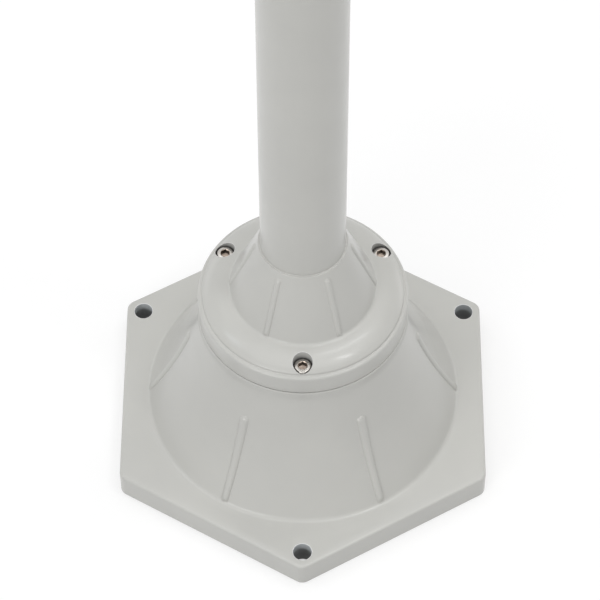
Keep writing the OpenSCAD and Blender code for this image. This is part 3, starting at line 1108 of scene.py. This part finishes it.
# %% The tree that sets a master on a circle
def ring_tree():
    """Instances of the master on a circle round Z, each turned to face outwards."""
    tree, given = new_tree("ring_of_screws", [
        ("Count", "Int"), ("Radius", "Float"), ("Height", "Float"), ("First angle", "Float"),
        ("Material", "Material"),
    ])
    angle = given["First angle"] + point_index(tree) * (ROUND / given["Count"])
    x, y = given["Radius"] * angle.do("COSINE"), given["Radius"] * angle.do("SINE")
    points = add_node(tree, "GeometryNodePoints", {
        "Count": given["Count"], "Position": combine(tree, x, y, given["Height"])})
    copies = add_node(tree, "GeometryNodeInstanceOnPoints", {
        "Points": points.outputs[0], "Instance": given["Geometry"],
        "Rotation": combine(tree, 0.0, 0.0, angle)})
    end_tree(tree, given, copies.outputs["Instances"])
    return tree


RING = ring_tree()


def set_round(name, master, radius, height, first):
    """Three copies of a master on its circle, as one piece; the master goes."""
    print(name, "come from a master that is", "closed" if is_closed(master)[0] else "OPEN")
    screws = run_tree(name, master.data, RING, {
        "Count": 3, "Radius": radius, "Height": height, "First angle": first, "Material": STAINLESS,
    })
    bpy.data.objects.remove(master)
    return screws


# %% Threads and sockets
ROWS_PER_TURN = 8


def thread_rows(radius, depth, pitch, low, high):
    """Rows up a threaded length, and the rule that winds the groove round them."""
    def groove(z, angle):
        phase = (z / pitch - angle / ROUND) % 1.0
        run_out = min(1.0, max(0.0, min(z - low, high - z) / pitch))
        return -depth * min(1.0, max(0.0, 1.25 - 3.2 * abs(phase - 0.5))) * run_out

    return [(radius, z) for z in evenly(low, high, round((high - low) / pitch * ROWS_PER_TURN))], groove


def threaded(name, foot, thread, head, segments):
    """Turns a screw from its tip up: the points of its foot, a thread from thread_rows, its head."""
    rows, groove = thread
    profile = foot + rows + head
    threads_at = range(len(foot), len(foot) + len(rows))
    return turned(name, profile, segments, lambda row, angle: (
        groove(profile[row][1], angle) if row in threads_at else 0.0))


def key_socket(across_flats, top, depth, turn=0.0):
    """Cutters for a hexagon socket: the flats, a bevelled mouth and a round drill point."""
    corner = across_flats / 2 / math.cos(SECTOR)
    flats = hexagon_prism("socket", across_flats / 2, top - depth, top + PAST)
    move(flats, Matrix.Rotation(turn, 4, "Z"))
    mouth = [(0, top + PAST), (corner + 1.05 * MM, top + PAST), (0, top - corner - 0.05 * MM)]
    drill, floor_z = across_flats / 2 - 0.5 * MM, top - depth
    point = [(0, floor_z + PAST), (drill, floor_z + PAST), (drill, floor_z), (0, floor_z - 0.3 * drill)]
    return [flats, turned("socket_mouth", mouth, 48), turned("socket_point", point, 48)]


print("a thread has", ROWS_PER_TURN, "rows a turn")

# %% Cap screws
SCREW_D = 8 * MM
THREAD_DEPTH = 0.75 * MM
PITCH = 1.25 * MM
CAP_L = 30 * MM
CAP_HEAD_H = 8 * MM
CAP_KEY = 6 * MM
KEY_DEPTH = 4 * MM
CAP_TURN = math.radians(30)


def cap_master():
    """A cap screw with the top of its head at the origin."""
    under = -CAP_HEAD_H
    tip = under - CAP_L
    point = 0.9 * MM
    head = rounded([
        (SCREW_D / 2, under - 3 * MM, 0), (SCREW_D / 2, under, 0.4 * MM), (HEAD_R, under, 0.3 * MM),
        (HEAD_R, -1.2 * MM, 0.5 * MM), (HEAD_R - 1 * MM, -0.2 * MM, 0.4 * MM),
        (HEAD_R - 2.8 * MM, 0, 0.6 * MM), (0, 0, 0),
    ], 4)
    thread = thread_rows(SCREW_D / 2, THREAD_DEPTH, PITCH, tip + point, under - 4 * MM)
    screw = threaded("cap_master", [(0, tip), (SCREW_D / 2 - point, tip)], thread, head, 64)
    boolean(screw, key_socket(CAP_KEY, 0, KEY_DEPTH, CAP_TURN), "DIFFERENCE")
    return screw


def in_a_socket(centre):
    """Inside the hexagon of a cap screw, under its bevelled mouth."""
    deep_enough = SCREW_TOP - CAP_HEAD_H + 1 * MM < centre.z < SCREW_TOP - 0.03 * MM
    return deep_enough and from_line(centre, SCREW_R) < CAP_KEY / 2 + 0.5 * MM


cap_screws = set_round("cap_screws", cap_master(), SCREW_R, SCREW_TOP, FIRST)
# Socket walls take painted shade; socket floors take painted light with a warm tint.
repaint(cap_screws, SOCKET_WALL_PAINTED_SHADE, lambda centre, normal: in_a_socket(centre) and abs(normal.z) < 0.5)
repaint(cap_screws, SOCKET_FLOOR_LIGHT_AND_TINT, lambda centre, normal: in_a_socket(centre) and normal.z >= 0.5)
finish_piece(cap_screws, ["cap_screw_1", "cap_screw_2", "cap_screw_3"], 25)

# %% Set screws
SET_L = 9.3 * MM
SET_KEY = 4 * MM


def set_master():
    """Along Z with its outer end at the origin, then laid down to point outwards along X."""
    thread = thread_rows(SCREW_D / 2, THREAD_DEPTH, PITCH, -SET_L + 0.8 * MM, -0.6 * MM)
    foot = [(0, -SET_L), (SCREW_D / 2 - 1.2 * MM, -SET_L)]
    screw = threaded("set_master", foot, thread, [(SCREW_D / 2 - 0.6 * MM, 0), (0, 0)], 48)
    boolean(screw, key_socket(SET_KEY, 0, KEY_DEPTH), "DIFFERENCE")
    return move(screw, Matrix.Rotation(math.radians(90), 4, "Y"))


set_screws = set_round("set_screws", set_master(), set_high.y, SET_Z, FIRST + math.pi / 3)
finish_piece(set_screws, ["set_screw_1", "set_screw_2", "set_screw_3"], 25)

# %% [markdown]
# ## The earth point
# Inside the bell a boss carries the screw for the earth wire: a brass hexagon screw with a slot, on a plain
# washer. It is out of sight from above, and it is what an electrician looks for first from below.

# %% Earth screw and washer
EARTH_D = 6 * MM
EARTH_FLATS = 10.2 * MM
EARTH_HEAD_T = 3.9 * MM
SLOT_W = 1.2 * MM
WASHER_T = 1.6 * MM
WASHER_R = 6.3 * MM
WASHER_HOLE_R = 3.2 * MM


def earth_screw():
    """A hexagon screw: turned round first, then its six flats and its slot are cut."""
    tip = WASHER_T - EARTH_BOSS_L
    point = 0.7 * MM
    corner = EARTH_FLATS / 2 / math.cos(SECTOR) + 0.1 * MM
    top = WASHER_T + EARTH_HEAD_T
    head = [
        (EARTH_D / 2, WASHER_T), (EARTH_FLATS / 2, WASHER_T), (corner, WASHER_T + 0.4 * MM),
        (corner, top - 0.7 * MM), (EARTH_FLATS / 2 - 0.1 * MM, top), (0, top),
    ]
    thread = thread_rows(EARTH_D / 2, 0.55 * MM, 1 * MM, tip + point, WASHER_T - 0.2 * MM)
    screw = threaded("earth_screw_piece", [(0, tip), (EARTH_D / 2 - point, tip)], thread, head, 72)
    boolean(screw, [hexagon_prism("flats", EARTH_FLATS / 2, tip - PAST, top + PAST)], "INTERSECT")
    low = (-8 * MM, -SLOT_W / 2, top - EARTH_HEAD_T / 2)
    boolean(screw, [block("slot", low, (8 * MM, SLOT_W / 2, top + PAST))], "DIFFERENCE")
    screw.data.materials.append(BRASS)
    return move(screw, EARTH_PLACE)


def earth_washer():
    ring = rounded([
        (WASHER_HOLE_R, 0, 0.2 * MM), (WASHER_R, 0, 0.2 * MM),
        (WASHER_R, WASHER_T, 0.35 * MM), (WASHER_HOLE_R, WASHER_T, 0.2 * MM),
    ], 3)
    washer = turned("earth_washer_piece", ring + ring[:1], 72)
    washer.data.materials.append(BRASS)
    return move(washer, EARTH_PLACE)


finish_piece(earth_screw(), ["earth_screw"], 25)
finish_piece(earth_washer(), ["earth_washer"])

# %% [markdown]
# ## Floor and light
# The post stands on a plain white floor under soft studio light. A large lamp overhead does most of the
# work, and four low ones round about light the sides. A small bluish lamp high on the left cools that
# side, and two narrow strips high on the right draw thin lines of light on the satin coat. Together they
# come to a plain level, so paint renders about as its colour is written. Floor and sky look white to the
# camera and to reflections only, and the floor keeps the post's soft shadow.

# %% Floor
FLOOR_HALF = 6.0
FLOOR_SEEN = 0.5                               # the floor's colour for the camera and reflections
FLOOR_BOUNCE = 0.6                             # and for the light that it throws back
# What the seen floor lacks to be white, by metres from the axis: lamps reach it less further out.
FLOOR_LIFT = [(0.3, 0.52), (1.5, 0.64), (3.0, 0.77)]


def seen_directly(tree):
    """1 for rays from the camera and for reflections, 0 for the light that is thrown around."""
    rays = tree.nodes.new("ShaderNodeLightPath").outputs
    mirrored = Formula(tree, rays["Is Glossy Ray"]).do("MAXIMUM", rays["Is Transmission Ray"])
    return Formula(tree, rays["Is Camera Ray"]).do("MAXIMUM", mirrored)


def floor_material():
    material, tree, shader = new_material("studio_floor")
    seen = seen_directly(tree)
    away = add_node(tree, "ShaderNodeVectorMath", {0: object_place(tree)}, operation="LENGTH")
    furthest = FLOOR_LIFT[-1][0]
    lift = ramp(tree, Formula(tree, away.outputs["Value"]) / furthest, [
        (metres / furthest, grey(lack)) for metres, lack in FLOOR_LIFT])
    feed_all(tree, shader, {
        "Base Color": ramp(tree, seen, [(0.0, grey(FLOOR_BOUNCE)), (1.0, grey(FLOOR_SEEN))]),
        "Roughness": 0.9,
        "Specular IOR Level": 0.1,
        "Emission Color": (1, 1, 1, 1),
        "Emission Strength": seen * lift,
    })
    return material


floor_corners = [(x * FLOOR_HALF, y * FLOOR_HALF, 0) for x, y in ((-1, -1), (1, -1), (1, 1), (-1, 1))]
floor = mesh_piece("studio_floor", floor_corners, [(0, 1, 2, 3)])
floor.data.materials.append(floor_material())
print("floor", 2 * FLOOR_HALF, "m wide")

# %% World and lamps
SKY = 0.51
AIM = Vector((0, 0, 0.15))


def studio_world():
    """An even sky that looks white to the camera and to reflections, and lights at its own strength."""
    world = bpy.data.worlds.new("studio")
    bpy.context.scene.world = world
    world.use_nodes = True
    seen = seen_directly(world.node_tree)
    feed_all(world.node_tree, world.node_tree.nodes["Background"], {
        "Color": (1, 1, 1, 1), "Strength": seen + (1.0 - seen) * SKY})


def soft_lamp(name, place, size, watts, colour=(1, 1, 1)):
    data = bpy.data.lights.new(name, "AREA")
    data.shape = "RECTANGLE"
    data.size, data.size_y = size
    data.energy = watts
    data.color = colour
    lamp = link(bpy.data.objects.new(name, data))
    lamp.location = place
    lamp.rotation_euler = (AIM - Vector(place)).to_track_quat("-Z", "Y").to_euler()
    lamp.visible_camera = False


studio_world()
soft_lamp("top_lamp", (0, 0.1, 2.6), (3.0, 3.0), 25.2)
soft_lamp("front_lamp", (0, -2.6, 1.3), (1.6, 1.0), 5.0)
soft_lamp("front_left_lamp", (-1.44, -2.22, 1.22), (1.2, 1.0), 15.6)
soft_lamp("high_left_lamp", (-1.54, 0.05, 2.12), (0.5, 0.5), 2.4, (0.86, 0.93, 1.0))
soft_lamp("back_left_lamp", (-1.77, 1.77, 0.87), (1.2, 0.8), 3.1)
soft_lamp("back_right_lamp", (2.05, 1.43, 0.87), (1.2, 0.8), 4.2)
soft_lamp("long_strip", (0.51, 0.27, 2.15), (0.12, 0.8), 2.1)
soft_lamp("short_strip", (0.85, -0.43, 2.15), (0.15, 0.4), 2.9)
print("lamps", round(sum(lamp.energy for lamp in bpy.data.lights), 1), "W in all")

# %% [markdown]
# ## Camera
# A long lens stands well back and looks down steeply on the foot, so that the plate shows as a hexagon
# and the column runs out of the view at the top. Its three directions are worked out from plain angles,
# which are easier to read than a rotation in numbers.

# %% Place the camera
LENS = 170.8                                   # millimetres, on a 36 mm wide sensor
CAMERA_BACK = 1.1798
CAMERA_UP = 1.8091
PITCH_DOWN = math.radians(54.787)
AZIMUTH = math.radians(0.277)
YAW = math.radians(0.105)
ROLL = math.radians(-0.156)


def make_camera():
    data = bpy.data.cameras.new("camera")
    data.lens = LENS
    data.sensor_width = 36
    data.clip_start, data.clip_end = 0.05, 50
    heading, level = AZIMUTH + YAW, math.cos(PITCH_DOWN)
    ahead = Vector((-math.sin(heading) * level, math.cos(heading) * level, -math.sin(PITCH_DOWN)))
    right = ahead.cross(Vector((0, 0, 1))).normalized()
    up = right.cross(ahead)
    rolled_right = right * math.cos(ROLL) + up * math.sin(ROLL)
    rolled_up = -right * math.sin(ROLL) + up * math.cos(ROLL)
    turn = Matrix((rolled_right, rolled_up, -ahead)).transposed().to_4x4()
    place = (math.sin(AZIMUTH) * CAMERA_BACK, -math.cos(AZIMUTH) * CAMERA_BACK, CAMERA_UP)
    camera = link(bpy.data.objects.new("camera", data))
    camera.matrix_world = Matrix.Translation(place) @ turn
    bpy.context.scene.camera = camera


make_camera()
bpy.context.scene.view_settings.view_transform = "Standard"
print("camera", round(math.hypot(CAMERA_BACK, CAMERA_UP), 2), "m from the foot")
